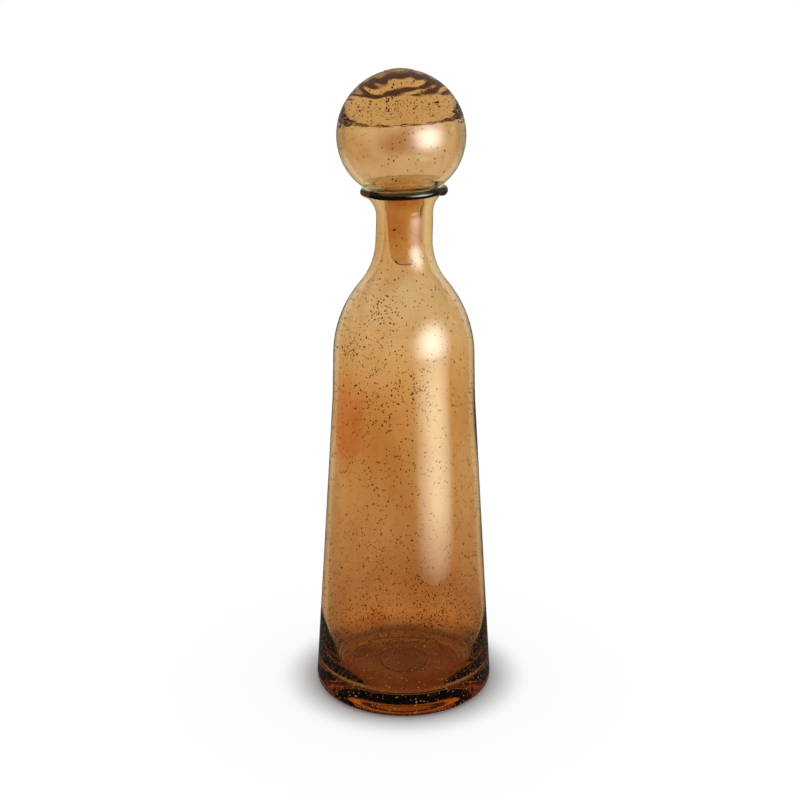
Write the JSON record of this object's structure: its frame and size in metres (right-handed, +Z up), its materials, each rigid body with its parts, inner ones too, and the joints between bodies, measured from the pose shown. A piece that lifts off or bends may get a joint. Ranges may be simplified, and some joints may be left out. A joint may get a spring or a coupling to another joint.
{
  "type": "genie bottle",
  "caption": "Tall tapered blown-glass decanter in seeded amber glass, with a flared mouth, a dark glass trail round the lip and a hollow ball stopper that lifts out.",
  "frame": {"origin": "centre of the ring that the bottle stands on, at the table's level", "axes": "+Z up along the bottle's axis; the mouth and stopper lean towards -X, and -Y faces the viewer of the picture"},
  "size_m": [0.1154, 0.1154, 0.4],
  "materials": {
    "amber_glass": "fire-polished clear amber with small seeds",
    "dark_glass": "fire-polished, nearly black olive amber"
  },
  "bodies": {
    "bottle": {"bottle_body": "amber_glass", "lip_wrap": "dark_glass", "pontil_mark": "amber_glass"},
    "stopper": {"stopper_ball": "amber_glass", "stopper_plug": "amber_glass", "crown_button": "amber_glass"}
  },
  "joints": [
    {"name": "stopper_lift", "type": "slide", "parent": "bottle", "child": "stopper", "axis": [-0.0436, 0, 0.999], "range_m": [0, 0.07]}
  ]
}
